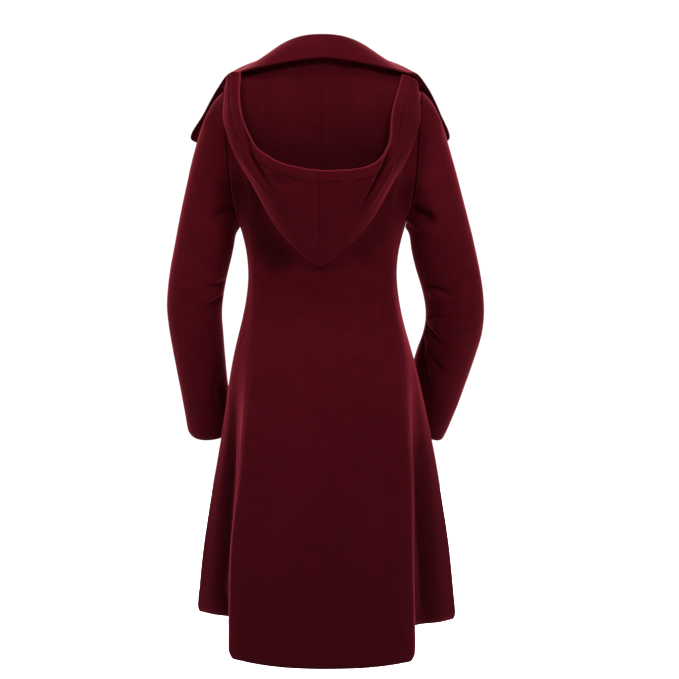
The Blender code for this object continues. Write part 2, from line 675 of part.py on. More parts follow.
def make_front(side, side_name):
    """A front, from the side seam past the centre. The right one lies over the left."""
    def surface(girth, height):
        return body(side, girth, height)

    across = [SIDE_SEAM, 0.56, 0.605, 0.65, 0.68, SHOULDER_TIP_FRONT, 0.74, 0.78, *NECK_COLUMNS,
              1.03, FRONT_EDGE]
    middle = grid_of(surface, across, BODY_ROWS)
    normals = normals_of(surface, across, BODY_ROWS, side)
    match_shoulder(normals, across)
    trim(middle, ("start", "high"), False)
    if side < 0:
        below = skin_of("front_left")
        for row, row_normals in zip(middle, normals):
            for i, girth in enumerate(across):
                row[i] = row[i] + row_normals[i] * (LAP * fade(girth, 0.84, 0.93))
                row[i] = lifted(row[i], below, LAP + 0.5 + fade(row[i].z, -340.0, -290.0))
    wall(f"front_{side_name}", middle, normals)


def make_sleeve(side, side_name):
    def surface(turn, down):
        place = sleeve(side_name, turn, down)
        return Vector((side * place.x, place.y, place.z))

    turns = [(g - SHOULDER_TIP_BACK) / (SIDE_SEAM - SHOULDER_TIP_BACK) / 2 if g <= SIDE_SEAM
             else 0.5 + (g - SIDE_SEAM) / (SHOULDER_TIP_FRONT - SIDE_SEAM) / 2 for g in ARMHOLE_STEPS]
    downs = steps(0.0, 1.0, 18)
    middle = grid_of(surface, turns, downs)
    below = skin_of(*BODY_WALLS)
    for row in middle:
        row[:] = [lifted(place, below, LAP + 0.1) for place in row]
    wall(f"sleeve_{side_name}", middle, grid_normals(middle, side, closed=True), closed=True)


def make_hood(side, side_name):
    def surface(along, across):
        return hood(side, along, across)

    along = steps(0.0, 1.0, 13)
    across = [0.0, 0.05, 0.10, 0.16, 0.22, 0.28, 0.34, 0.40, 0.45, 0.49, 0.52, 0.55, 0.58, 0.61,
              0.68, 0.76, 0.84, 0.92, 1.0]
    middle = grid_of(surface, along, across)
    below = skin_of(*BODY_WALLS)
    for row in middle[1:]:
        row[:] = [lifted(place, below, LAP + 1.4) for place in row]
    trim(middle, ("start",), False)
    wall(f"hood_{side_name}", middle, grid_normals(middle, -side, Vector((side, 0.0, 0.0))))


def make_collar():
    """One piece from front to front, kept off the body and over the hood."""
    half = sorted([(k + 1) / 16 for k in range(16)] + [COLLAR_CORNER])
    along = [-a for a in reversed(half)] + [0.0] + half
    across = [0.0, 0.10, 0.20, 0.28, 0.34, 0.40, 0.46, 0.54, 0.66, 0.82, 1.0]
    middle = grid_of(collar, along, across)
    below, between = skin_of(*BODY_WALLS), skin_of("hood_left", "hood_right")
    sleeves = skin_of("sleeve_left", "sleeve_right")
    for row, share in zip(middle, across):
        for i, place in enumerate(row):
            if abs(along[i]) > 0.15:
                near_corner = 1.0 - fade(abs(abs(along[i]) - COLLAR_CORNER), 0.06, 0.18)
                off = 0.4 + 0.4 * near_corner + 1.6 * fade(share, 0.0, 0.5) + 1.3 * fade(share, 0.5, 1.0)
                row[i] = lifted(place, below, LAP + off)
            if share > 0.45:
                row[i] = parted(lifted(row[i], sleeves, LAP + 1.0, 30.0), between, LAP + 0.5)
    wall("collar", middle, grid_normals(middle, 1.0), COLLAR_CLOTH)


def make_button(number, height):
    """A round button with a raised rim and a short shank, on the right front."""
    below = skin_of("front_right")
    near, normal, _, _ = below.ray_cast(Vector((0.0, -400.0, height)), Vector((0.0, 1.0, 0.0)))
    foot = near + normal * (CLOTH / 2 + 2 * SEAM_GAP)
    rim = BUTTON_RADIUS
    profile = ((0.0, 5.2), (rim - 4.0, 5.2), (rim - 3.0, 6.2), (rim - 1.0, 6.2), (rim, 5.0),
               (rim, 3.8), (rim - 1.5, 2.8), (3.5, 2.8), (3.5, 0.0), (0.0, 0.0))
    edges = [(k, k + 1) for k in range(len(profile) - 1)]
    mesh = bpy.data.meshes.new(f"button_{number}")
    mesh.from_pydata([(r * MM, 0.0, z * MM) for r, z in profile], edges, [])
    piece = finish(f"button_{number}", mesh, "button")
    turned = piece.modifiers.new("turn", "SCREW")
    turned.steps = turned.render_steps = 16
    turned.use_merge_vertices = True
    turned.merge_threshold = 0.00002
    piece.rotation_mode = "QUATERNION"
    piece.rotation_quaternion = normal.to_track_quat("Z", "X")
    piece.location = foot * MM


for leftover in list(bpy.data.objects):
    bpy.data.objects.remove(leftover)

coat = collection_of("overcoat")
materials = {"coating": material_of("coating", 0.92), "button": material_of("button", 0.45)}
skins = {}
BODY_WALLS = ("back", "side_back_left", "side_back_right", "front_left", "front_right")
SIDES = ((1, "left"), (-1, "right"))
make_back()
for make_piece in (make_side_back, make_front, make_sleeve, make_hood):
    for sign, side_label in SIDES:
        make_piece(sign, side_label)
make_collar()
for index, level in enumerate(BUTTON_HEIGHTS):
    make_button(index + 1, level)
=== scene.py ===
from math import atan2, pi, radians

import bmesh
import bpy
import numpy as np
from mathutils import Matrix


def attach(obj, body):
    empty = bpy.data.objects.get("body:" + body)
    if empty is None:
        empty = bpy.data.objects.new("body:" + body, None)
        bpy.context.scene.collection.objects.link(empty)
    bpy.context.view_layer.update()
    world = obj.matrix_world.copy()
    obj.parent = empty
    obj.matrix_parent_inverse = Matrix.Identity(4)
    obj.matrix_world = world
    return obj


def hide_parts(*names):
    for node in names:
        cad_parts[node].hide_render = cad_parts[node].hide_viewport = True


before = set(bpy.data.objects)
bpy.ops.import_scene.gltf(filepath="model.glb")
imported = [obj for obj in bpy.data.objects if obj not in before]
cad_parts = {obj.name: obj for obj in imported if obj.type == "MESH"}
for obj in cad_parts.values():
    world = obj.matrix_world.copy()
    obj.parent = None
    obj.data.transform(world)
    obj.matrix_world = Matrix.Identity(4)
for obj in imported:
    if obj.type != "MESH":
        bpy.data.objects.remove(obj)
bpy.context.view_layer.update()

# A hooded overcoat in burgundy wool coating. Lengths are in millimetres until a mesh gets its
# points. The front faces -Y, the photo looks from +Y, and the wearer's left is at +X.

mm = 0.001

# Each sewn panel as the frame holds it: points across and up, wall thickness, and its first
# corner. Across and up are turned so that together they face out of the cloth.
panels = {
    "back": dict(across=15, up=25, thick=2.4, first=(160, 158, -1035), corners=(2, 5, 9, 12)),
    "side_back_left": dict(across=8, up=25, thick=2.4, first=(240, -22, -991)),
    "side_back_right": dict(across=8, up=25, thick=2.4, first=(-160, 158, -1035)),
    "front_left": dict(across=17, up=25, thick=2.4, first=(-31, -158, -942), corners=(8, 11)),
    "front_right": dict(across=17, up=25, thick=2.4, first=(-240, -22, -991), corners=(5, 8)),
    "sleeve_left": dict(across=19, up=19, thick=2.4, first=(177, 0, -43), turn=(0, -1, 0),
                        step=3.3),
    "sleeve_right": dict(across=19, up=19, thick=2.4, first=(-177, 0, -43), turn=(0, 1, 0),
                         step=3.3),
    "hood_left": dict(across=14, up=19, thick=2.4, first=(92, -2, 14), step=2.7, band=20),
    "hood_right": dict(across=14, up=19, thick=2.4, first=(0, 70, 10), step=2.7, band=20),
    "collar": dict(across=35, up=11, thick=3.0, first=(-9, -134, -216), step=3.4),
}


# Reading the panels

def thirdPoint(a, b, used):
    # the far point of the one face on edge a-b that has not been used yet
    for edge in a.link_edges:
        if edge.other_vert(a) is b:
            faces = [face for face in edge.link_faces if face not in used]
            if len(faces) != 1:
                return None, None
            return next(v for v in faces[0].verts if v is not a and v is not b), faces[0]
    return None, None


def nextRow(row, start, used, closed):
    made = [start]
    for k in range(len(row) if closed else len(row) - 1):
        a, b, above = row[k], row[(k + 1) % len(row)], made[-1]
        point, face = thirdPoint(a, b, used)
        if face is None:
            return None
        used.add(face)
        if point is above:
            point, face = thirdPoint(b, above, used)
        else:
            other, face = thirdPoint(a, point, used)
            if other is not above:
                return None
        if face is None:
            return None
        used.add(face)
        made.append(point)
    if closed and made.pop() is not start:
        return None
    return made


def walkRows(row, side, up, used, closed):
    rows = [row]
    for j in range(1, up):
        if not closed:
            made = nextRow(rows[-1], side[j], used, False)
        else:
            known = set(v for r in rows for v in r)
            starts = sorted(
                (v for v in (e.other_vert(rows[-1][0]) for e in rows[-1][0].link_edges)
                 if v not in known and any(f not in used for f in v.link_faces)),
                key=lambda v: (v.co - rows[-1][0].co).length)
            for start in starts:
                trial = set(used)
                made = nextRow(rows[-1], start, trial, True)
                if made:
                    used.update(trial)
                    break
        rows.append(made)
    return rows


# How near two points are to be one, and how near a wall's edge is to its thickness, in millimetres
weldWithin, thickWithin = 0.05, 0.004


def pairAcross(mesh, thick):
    # which point lies straight across the wall from which
    rung = {}
    for edge in mesh.edges:
        if abs(edge.calc_length() / mm - thick) < thickWithin:
            a, b = edge.verts
            rung[a], rung[b] = b, a
    return rung


def borderLoops(mesh, rung, rim):
    # the closed lines of points where the wall's two skins meet its rim
    border = {}
    for edge in mesh.edges:
        a, b = edge.verts
        if rung.get(a) is not b and sum(face in rim for face in edge.link_faces) == 1:
            border.setdefault(a, []).append(b)
            border.setdefault(b, []).append(a)
    loops, seen = [], set()
    for start in border:
        if start in seen:
            continue
        loop = [start]
        seen.add(start)
        while True:
            ahead = [v for v in border[loop[-1]] if v not in seen]
            if not ahead:
                break
            loop.append(ahead[0])
            seen.add(ahead[0])
        loops.append(loop)
    return loops


def firstCorner(points, panel):
    # the place in a loop where the first row starts, and which way round it runs
    first, need = np.array(panel["first"]) * mm, len(points)
    if "turn" in panel:
        k = int(np.argmin(np.linalg.norm(points - first, axis=1)))
        ahead = (points[(k + 1) % need] - points[k - 1]) @ np.array(panel["turn"])
        return k, (1 if ahead > 0 else -1)
    across, up = panel["across"], panel["up"]
    step = np.roll(points, -1, 0) - points
    step /= np.linalg.norm(step, axis=1)[:, None]
    turn = 1.0 - (step * np.roll(step, 1, 0)).sum(1)
    spans = (0, across - 1, across + up - 2, 2 * across + up - 3)
    at = max(range(need), key=lambda p: sum(turn[(p + s) % need] for s in spans))
    places = [(at + s) % need for s in spans]
    nearest = min(range(4), key=lambda c: np.linalg.norm(points[places[c]] - first))
    return places[nearest], (1 if nearest % 2 == 0 else -1)


def readPanel(name):
    # rows and columns of points through the middle of the wall, in millimetres
    panel = panels[name]
    across, up, closed = panel["across"], panel["up"], "turn" in panel
    mesh = bmesh.new()
    mesh.from_mesh(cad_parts[name].data)
    bmesh.ops.remove_doubles(mesh, verts=mesh.verts, dist=weldWithin * mm)
    rung = pairAcross(mesh, panel["thick"])
    rim = set(f for f in mesh.faces if any(rung.get(e.verts[0]) is e.verts[1] for e in f.edges))
    first = np.array(panel["first"]) * mm
    need = across if closed else 2 * (across + up) - 4
    loops = [loop for loop in borderLoops(mesh, rung, rim) if len(loop) == need]
    loop = min(loops, key=lambda l: min(np.linalg.norm(np.array(v.co) - first) for v in l))
    k, way = firstCorner(np.array([v.co for v in loop]), panel)
    row = [loop[(k + way * i) % need] for i in range(across)]
    side = None if closed else [loop[(k - way * j) % need] for j in range(up)]
    used = set(rim)
    layers = [walkRows(row, side, up, used, closed)]
    partnerSide = side and [rung[v] for v in side]
    layers.append(walkRows([rung[v] for v in row], partnerSide, up, used, closed))
    one, other = [np.array([[v.co for v in r] for r in rows]) / mm for rows in layers]
    mesh.free()
    return (one + other) / 2


def curveThrough(knots, values, at, breaks=()):
    # a smooth curve through the values, with a corner at each break
    shape = (-1,) + (1,) * (values.ndim - 1)
    gaps = np.diff(knots)
    wide = gaps.reshape(shape)
    rises = np.diff(values, axis=0) / wide
    inner = (wide[1:] * rises[:-1] + wide[:-1] * rises[1:]) / (wide[1:] + wide[:-1])
    leaving = np.concatenate([rises[:1], inner, rises[-1:]])
    arriving = leaving.copy()
    for k in breaks:
        leaving[k], arriving[k] = rises[k], rises[k - 1]
    i = np.clip(np.searchsorted(knots, at, side="right") - 1, 0, len(gaps) - 1)
    t, h = ((at - knots[i]) / gaps[i]).reshape(shape), wide[i]
    return (
        (1 + 2 * t) * (1 - t) ** 2 * values[i] + t * (1 - t) ** 2 * h * leaving[i]
        + t * t * (3 - 2 * t) * values[i + 1] + t * t * (t - 1) * h * arriving[i + 1]
    )


def fade(at, start, end):
    t = np.clip((at - start) / (end - start), 0.0, 1.0)
    return t * t * (3 - 2 * t)


def unit(vectors):
    return vectors / np.maximum(np.linalg.norm(vectors, axis=-1, keepdims=True), 1e-9)


def lengthsAlong(points, axis):
    # how long the cloth is from its first line of points to each of the others
    steps = np.linalg.norm(np.diff(points, axis=axis), axis=-1)
    total = np.cumsum(steps, axis=axis)
    return np.concatenate([np.zeros_like(np.take(total, [0], axis)), total], axis=axis)


def meanLengths(points, axis):
    steps = np.linalg.norm(np.diff(points, axis=axis), axis=-1).mean(1 - axis)
    return np.concatenate([[0.0], np.cumsum(steps)])


# Where the net's lines lie, in millimetres: this far apart where a panel names no other step,
# closer and closer towards an edge, and close again on both sides of a band's groove
netStep = 4.2
nearEdge = [0.0, 0.5, 1.2, 2.2, 3.8, 6.0, 9.0]
nearBand = (-8, -5, -3, -1.6, -0.8, 0, 0.8, 1.6, 3, 5, 8)


def placesAlong(length, step, fineStart, fineEnd, band=0):
    far = nearEdge + [band + side for side in nearBand] if band else nearEdge
    start = nearEdge if fineStart else [0.0]
    end = [length - place for place in reversed(far)] if fineEnd else [length]
    count = max(1, round((end[0] - start[-1]) / step))
    inner = np.linspace(start[-1], end[0], count + 1)[1:-1]
    return np.array(start + list(inner) + end)


def waysOut(points, closed):
    grid = np.concatenate([points[:, -2:-1], points, points[:, 1:2]], axis=1) if closed else points
    along, up = np.gradient(grid, axis=1), np.gradient(grid, axis=0)
    ways = unit(np.cross(along, up))
    return ways[:, 1:-1] if closed else ways


# How much of a corner the top rows of a panel have, where shoulder, neck and armhole meet
cornerShares = {-3: 0.15, -2: 0.5, -1: 1.0}


def finePanel(name):
    # the panel's own surface on a fine net; a tube's last column repeats its first
    rough, panel = readPanel(name), panels[name]
    closed, step = "turn" in panel, panel.get("step", netStep)
    if closed:
        rough = np.concatenate([rough[:, -2:], rough, rough[:, :3]], axis=1)
    knots = meanLengths(rough, 1)
    if closed:
        knots -= knots[2]
        at = placesAlong(knots[-3], step, False, False)
    else:
        at = placesAlong(knots[-1], step, True, True)
    across = [curveThrough(knots, row, at) for row in rough]
    if "corners" in panel:
        for j, share in cornerShares.items():
            cornered = curveThrough(knots, rough[j], at, panel["corners"])
            across[j] = across[j] + (cornered - across[j]) * share
    knots = meanLengths(rough, 0)
    up = placesAlong(knots[-1], step, True, True, panel.get("band", 0))
    points = curveThrough(knots, np.array(across), up)
    if closed:
        points[:, -1] = points[:, 0]
    return points


# Sewing and pressing

def smoothPath(points, count):
    # a smooth curve through a few points, with this many places for each of them
    points = np.array(points, float)
    knots = np.arange(len(points), dtype=float)
    return curveThrough(knots, points, np.linspace(0, knots[-1], count * len(points)))


def lineFrom(path, points, ways):
    # a line drawn on the cloth: each x, z of the path is put on the side that the photo shows
    seen = points[ways[:, 1] > 0.05]
    placed = []
    for x, z in path:
        near = np.argmin((seen[:, 0] - x) ** 2 + (seen[:, 2] - z) ** 2)
        placed.append(seen[near])
    return smoothPath(placed, 6)


def alongLine(line, points, ways):
    # how far each point is to the side of a line, and how far along it, from 0 to 1
    spans = np.linalg.norm(np.diff(line, axis=0), axis=1)
    starts = np.concatenate([[0.0], np.cumsum(spans)])
    best = np.full(points.shape[:2], 1e9)
    side, share = best.copy(), best.copy()
    for a, b, start, span in zip(line, line[1:], starts, spans):
        t = np.clip(((points - a) @ (b - a)) / span ** 2, 0.0, 1.0)
        away = points - (a + t[..., None] * (b - a))
        far = np.linalg.norm(away, axis=-1)
        nearer = far < best
        turned = (np.cross(b - a, ways) * away).sum(-1)
        best = np.where(nearer, far, best)
        side = np.where(nearer, np.sign(turned) * far, side)
        share = np.where(nearer, (start + t * span) / starts[-1], share)
    return side, share


# The roll beside a fold's trough: how far off it lies and how wide it is, in the trough's widths
rollAway, rollWide = 1.9, 1.25


def foldShift(fold, points, ways, near, nearWays):
    # a soft trough with a raised roll on one side, fading at both ends
    side, share = alongLine(lineFrom(fold["path"], near, nearWays), points, ways)
    side, wide = side * fold["lean"], fold["wide"]
    trough = -np.exp(-(side / wide) ** 2)
    roll = np.exp(-((side - rollAway * wide) / (rollWide * wide)) ** 2) * fold["roll"]
    first, last = fold["ends"]
    fadeIn, fadeOut = fade(share, 0.0, first), 1.0 - fade(share, 1.0 - last, 1.0)
    return fold["deep"] * (trough + roll) * fadeIn * fadeOut


def meetAtSeams(points, edges):
    # each edge named reaches so many millimetres further, so that no light comes through a seam
    out = points.copy()
    for edge, much in edges.items():
        a, b = dict(start=(np.s_[:, 0], np.s_[:, 1]), end=(np.s_[:, -1], np.s_[:, -2]),
                    low=(np.s_[0], np.s_[1]), high=(np.s_[-1], np.s_[-2]))[edge]
        out[a] = out[a] + unit(points[a] - points[b]) * much
    return out


def evenOut(values, count, mode):
    # a running mean over so many values on both sides, held at the ends or wrapped round a ring
    window = 2 * count + 1
    return np.convolve(np.pad(values, count, mode=mode), np.ones(window) / window, mode="valid")


# How far an edge may shrink or grow to reach its path, in millimetres, how many places are
# tried, how much a short way is preferred, and over how many points the reach is evened out
edgeReach = {"least": -14, "most": 22, "tries": 145, "short": 0.02, "even": 7}


def reachPath(points, path, depth):
    # the last rows grow or shrink along the cloth until its edge lies on a path of x and z
    path = smoothPath(path, 12)
    rim, toward = points[-1], unit(points[-1] - points[-4])
    flat, aim = rim[:, [0, 2]], toward[:, [0, 2]]
    steps = np.linspace(edgeReach["least"], edgeReach["most"], edgeReach["tries"])[:, None]
    reach = np.zeros(len(rim))
    for k in range(len(rim)):
        trial = flat[k] + steps * aim[k]
        far = np.linalg.norm(trial[:, None] - path[None], axis=-1).min(1)
        reach[k] = steps[np.argmin(far + edgeReach["short"] * abs(steps[:, 0])), 0]
    reach = evenOut(reach, edgeReach["even"], "edge")
    up = lengthsAlong(points, 0)
    share = 1.0 - fade(up[-1:] - up, 0.0, depth)
    return points + unit(np.gradient(points, axis=0)) * (share * reach)[..., None]


def nearestOf(points, line):
    # the distance to a line of points and the number of the nearest one
    flat = points.reshape(-1, 3)
    best = np.full(len(flat), 1e9)
    which = np.zeros(len(flat), int)
    for k, place in enumerate(line):
        far = np.linalg.norm(flat - place, axis=1)
        which = np.where(far < best, k, which)
        best = np.minimum(far, best)
    return best.reshape(points.shape[:2]), which.reshape(points.shape[:2])


# The corner between body and sleeve, in millimetres: how far round a point its sides are
# looked at, how far it comes out and how far that reaches, the sharpness from which it is left
# alone, and over how many points it is evened out
armhole = {"near": (6, 17), "out": 6.2, "reach": 27.0, "sharp": (1.3, 1.65), "even": 8}


def easeArmhole(seam, bodyPoints, sleevePoints):
    # how far each point of the seam comes out of the corner between body and sleeve
    least, most = armhole["near"]
    lift = np.zeros_like(seam)
    for k, place in enumerate(seam):
        aways = []
        for cloud in (bodyPoints, sleevePoints):
            far = np.linalg.norm(cloud - place, axis=1)
            near = cloud[(far > least) & (far < most)]
            aways.append(unit(near.mean(0) - place))
        bend = aways[0] + aways[1]
        size = np.linalg.norm(bend)
        lift[k] = bend * armhole["out"] * (1.0 - fade(size, *armhole["sharp"]))
    return np.stack([evenOut(lift[:, axis], armhole["even"], "wrap") for axis in range(3)], -1)


def unevenness(points, size, seed):
    # slow waves with no pattern, from about -1 to 1
    waves = 7
    made = np.zeros(points.shape[:2])
    turner = np.random.default_rng(seed)
    for _ in range(waves):
        way = unit(turner.normal(size=3)) * (2 * pi / (size * turner.uniform(0.7, 1.6)))
        made += np.sin(points @ way + turner.uniform(0, 2 * pi))
    return made / waves * 1.6


def sewShell(name, points, ways, thick, closed, fields):
    # a closed wall of cloth on both sides of a net, with the cloth's own flat measure as its UV
    rows, columns = points.shape[:2]
    columns -= closed
    outer, inner = points + ways * thick[..., None] / 2, points - ways * thick[..., None] / 2
    number = np.arange(rows * columns).reshape(rows, columns)
    if closed:
        number = np.concatenate([number, number[:, :1]], axis=1)
    spread = np.concatenate([layer[:, :columns].reshape(-1, 3) for layer in (outer, inner)]) * mm
    half = rows * columns
    a, b, c, d = number[:-1, :-1], number[:-1, 1:], number[1:, 1:], number[1:, :-1]
    faces = [np.stack([a, b, c, d], -1).reshape(-1, 4),
             np.stack([d, c, b, a], -1).reshape(-1, 4) + half]
    u, v = lengthsAlong(points, 1).mean(0), lengthsAlong(points, 0).mean(1)
    flat = np.stack(np.meshgrid(u, v), -1) * mm
    corner = [flat[:-1, :-1], flat[:-1, 1:], flat[1:, 1:], flat[1:, :-1]]
    spots = [np.stack(corner, 2).reshape(-1, 4, 2), np.stack(corner[::-1], 2).reshape(-1, 4, 2)]
    rims = [(number[0, 1:], number[0, :-1], flat[0, 1:], flat[0, :-1]),
            (number[-1, :-1], number[-1, 1:], flat[-1, :-1], flat[-1, 1:])]
    if not closed:
        rims += [(number[:-1, 0], number[1:, 0], flat[:-1, 0], flat[1:, 0]),
                 (number[1:, -1], number[:-1, -1], flat[1:, -1], flat[:-1, -1])]
    for start, end, startFlat, endFlat in rims:
        faces.append(np.stack([start, end, end + half, start + half], -1))
        spots.append(np.stack([startFlat, endFlat, endFlat, startFlat], 1))
    faces, spots = np.concatenate(faces), np.concatenate(spots)
    mesh = bpy.data.meshes.new(name)
    mesh.from_pydata(spread.tolist(), [], faces.tolist())
    layer = mesh.uv_layers.new(name="cloth")
    layer.data.foreach_set("uv", spots.astype(np.float32).ravel())
    for title, values in fields.items():
        once = values[:, :columns].reshape(-1)
        held = mesh.attributes.new(title, "FLOAT", "POINT")
        held.data.foreach_set("value", np.concatenate([once, once]).astype(np.float32))
    mesh.shade_smooth()
    piece = bpy.data.objects.new(name, mesh)
    bpy.context.scene.collection.objects.link(piece)
    return piece


# What each piece of cloth is like: which of its edges are sewn, which are turned hems and how
# deep those are, which edge curls in, over what width and how deep, and its flat cut: a rough
# width and length in metres, and its area in square metres
skirtCurl = ("low", 13, 5.5)
cloth = {
    "back": dict(title="backPanel", sewn=("start", "end", "high"), hems=dict(low=38),
                 curl=skirtCurl, cut=(0.42, 1.06), area=0.34),
    "side_back_left": dict(title="sideBackLeft", sewn=("start", "end", "high"), hems=dict(low=38),
                           curl=skirtCurl, cut=(0.20, 0.86), area=0.105),
    "side_back_right": dict(title="sideBackRight", sewn=("start", "end", "high"),
                            hems=dict(low=38), curl=skirtCurl, cut=(0.20, 0.86), area=0.105),
    "front_left": dict(title="frontLeft", sewn=("end", "high"), hems=dict(low=38, start=7),
                       curl=skirtCurl, cut=(0.36, 1.02), area=0.25),
    "front_right": dict(title="frontRight", sewn=("start", "high"), hems=dict(low=38, end=7),
                        curl=skirtCurl, cut=(0.36, 1.02), area=0.25),
    "sleeve_left": dict(title="sleeveLeft", sewn=("low",), hems=dict(high=34),
                        curl=("high", 14, 6), cut=(0.39, 0.66), area=0.172),
    "sleeve_right": dict(title="sleeveRight", sewn=("low",), hems=dict(high=34),
                         curl=("high", 8, 2.5), cut=(0.39, 0.68), area=0.183),
    "hood_left": dict(title="hoodLeft", sewn=("end", "low"), hems=dict(high=20, start=6),
                      cut=(0.28, 0.44), area=0.081),
    "hood_right": dict(title="hoodRight", sewn=("start", "low"), hems=dict(high=20, end=6),
                       cut=(0.28, 0.44), area=0.084),
    "collar": dict(title="collarFall", sewn=("low",), hems=dict(high=7, start=7, end=7),
                   cut=(0.78, 0.24), area=0.131),
}

# Where the hood's face edge hangs, as x and z in millimetres, from the left neck to the right
faceEdge = [(143, -10), (144, -63), (138, -105), (120, -150), (93, -176), (55, -195), (-1, -204),
            (-59, -200), (-93, -187), (-116, -152), (-121, -97), (-140, -29), (-146, -5)]

# Folds pressed into the cloth: a path of x and z in millimetres on the side that the photo
# shows, how wide and deep the trough is, how high the roll beside it stands and on which side,
# and over what share of the path each end fades
body = ("back", "side_back_left", "side_back_right", "front_left", "front_right")
hood = ("hood_left", "hood_right")
folds = [
    # the hood's drapes, from the face edge down towards the tip
    dict(on=hood, path=[(132, -105), (129, -143), (117, -182), (98, -215), (78, -245), (60, -268)],
         wide=6.0, deep=6.0, roll=0.7, lean=1, ends=(0.3, 0.4)),
    dict(on=hood, path=[(-121, -150), (-113, -175), (-103, -200), (-85, -238), (-58, -278)],
         wide=5.5, deep=8.0, roll=0.5, lean=-1, ends=(0.3, 0.35)),
    dict(on=hood, path=[(-130, -80), (-129, -115), (-124, -150), (-112, -190), (-92, -232)],
         wide=8.0, deep=2.8, roll=0.4, lean=1, ends=(0.4, 0.4)),
    dict(on=hood, path=[(90, -205), (66, -224), (34, -236)],
         wide=7.0, deep=2.6, roll=0.4, lean=1, ends=(0.2, 0.7)),
    # the skirt: the valley outside its left ridge, and a shallow one outside the right
    dict(on=body,
         path=[(149, -560), (155, -640), (160, -733), (169, -870), (173, -960), (174, -1010)],
         wide=13.0, deep=6.5, roll=0.4, lean=-1, ends=(0.35, 0.12)),
    dict(on=body,
         path=[(-158, -640), (-168, -760), (-176, -880), (-179, -960), (-180, -1010)],
         wide=13.0, deep=4.5, roll=0.2, lean=1, ends=(0.35, 0.12)),
    # the left sleeve: under the arm, twice inside the elbow, and down towards the cuff
    dict(on=("sleeve_left",), path=[(146, -246), (160, -258), (178, -266), (200, -284)],
         wide=8.0, deep=6.0, roll=0.5, lean=-1, ends=(0.05, 0.6)),
    dict(on=("sleeve_left",), path=[(168, -388), (186, -393), (216, -397)],
         wide=5.5, deep=4.2, roll=0.5, lean=1, ends=(0.4, 0.5)),
    dict(on=("sleeve_left",), path=[(168, -413), (188, -420), (216, -433)],
         wide=5.5, deep=6.5, roll=0.6, lean=1, ends=(0.35, 0.5)),
    dict(on=("sleeve_left",), path=[(190, -545), (186, -600), (180, -650)],
         wide=12.0, deep=4.5, roll=0.4, lean=1, ends=(0.4, 0.4)),
    # the right sleeve: a strong one under the arm, four about the elbow, one down its inner side
    dict(on=("sleeve_right",), path=[(-150, -250), (-168, -264), (-186, -274), (-210, -292)],
         wide=9.5, deep=11.0, roll=0.75, lean=1, ends=(0.05, 0.45)),
    dict(on=("sleeve_right",), path=[(-184, -393), (-210, -404), (-244, -417)],
         wide=5.8, deep=6.5, roll=0.7, lean=1, ends=(0.3, 0.5)),
    dict(on=("sleeve_right",), path=[(-190, -452), (-211, -449), (-236, -460)],
         wide=5.8, deep=5.0, roll=0.6, lean=1, ends=(0.3, 0.5)),
    dict(on=("sleeve_right",), path=[(-188, -462), (-203, -487), (-224, -514)],
         wide=6.0, deep=6.5, roll=0.7, lean=1, ends=(0.2, 0.5)),
    dict(on=("sleeve_right",), path=[(-192, -508), (-212, -540), (-240, -553)],
         wide=6.0, deep=6.0, roll=0.7, lean=1, ends=(0.2, 0.5)),
    dict(on=("sleeve_right",), path=[(-185, -470), (-186, -530), (-192, -580), (-196, -620)],
         wide=6.5, deep=4.2, roll=0.5, lean=-1, ends=(0.2, 0.5)),
]

# Painted shade laid on the nap to match the photo, mostly where a neighbour shelters the cloth:
# a path of x and z, how strong the painted shade is there, and from where to where it fades out
rear = ("back", "side_back_left", "side_back_right")
shelters = [
    # the armpits
    dict(on=rear + ("sleeve_left",), path=[(151, -232), (149, -248), (147, -264)],
         much=0.95, reach=(9, 50)),
    dict(on=rear + ("sleeve_right",), path=[(-151, -236), (-152, -250), (-153, -264)],
         much=0.75, reach=(8, 46)),
    # beside the hood's pouch
    dict(on=rear, path=[(130, -222), (122, -275), (104, -318), (76, -346)],
         much=0.95, reach=(6, 44)),
    dict(on=rear, path=[(-128, -225), (-104, -292), (-66, -342)], much=0.45, reach=(5, 30)),
    # the skirt's valleys
    dict(on=rear, path=[(158, -600), (163, -733), (171, -870), (178, -1000)],
         much=0.6, reach=(4, 34)),
    dict(on=rear, path=[(-176, -690), (-184, -820), (-190, -1000)], much=0.5, reach=(4, 36)),
    # the inner sides of the sleeves, and the outer side of the right one
    dict(on=("sleeve_left",), path=[(150, -270), (170, -400), (172, -520), (170, -650)],
         much=0.5, reach=(4, 34)),
    dict(on=("sleeve_right",), path=[(-156, -270), (-180, -400), (-184, -520), (-186, -640)],
         much=0.7, reach=(6, 52)),
    dict(on=("sleeve_right",), path=[(-212, -330), (-220, -430), (-206, -560), (-196, -670)],
         much=0.34, reach=(12, 46)),
]

pressing = {
    "seamReach": 0.16,  # how much further a sewn edge reaches
    "neckReach": 1.5,  # and the neck edge of the hood
    "edgeDepth": 62.0,  # how far in from its face edge the hood follows that edge
    "farOff": 500.0,  # the distance kept for points far from any seam or hem
    "seam": (0.3, 3.0),  # how deep and wide a seam is sunk
    "band": (2.0, 2.1),  # and the groove under the hood's stitched band
    "bandAt": 20.6,  # how far that groove lies from the hood's edge
    "stitchAt": 20.0,  # and the stitches
    "hem": 0.6,  # how much thicker a turned hem is
    "hoodHem": 1.5,
    "hemFade": (-1.5, 0.8),  # from where to where a hem thins out, around its depth
    "edgeThick": 0.22,  # what is left of the wall at an open edge, and over what width
    "edgeIn": 2.1,
    "seamThick": 0.75,  # and at a sewn one
    "seamIn": 2.4,
    "centreWide": 5.0,  # over what width both halves of the hood face the same way
}
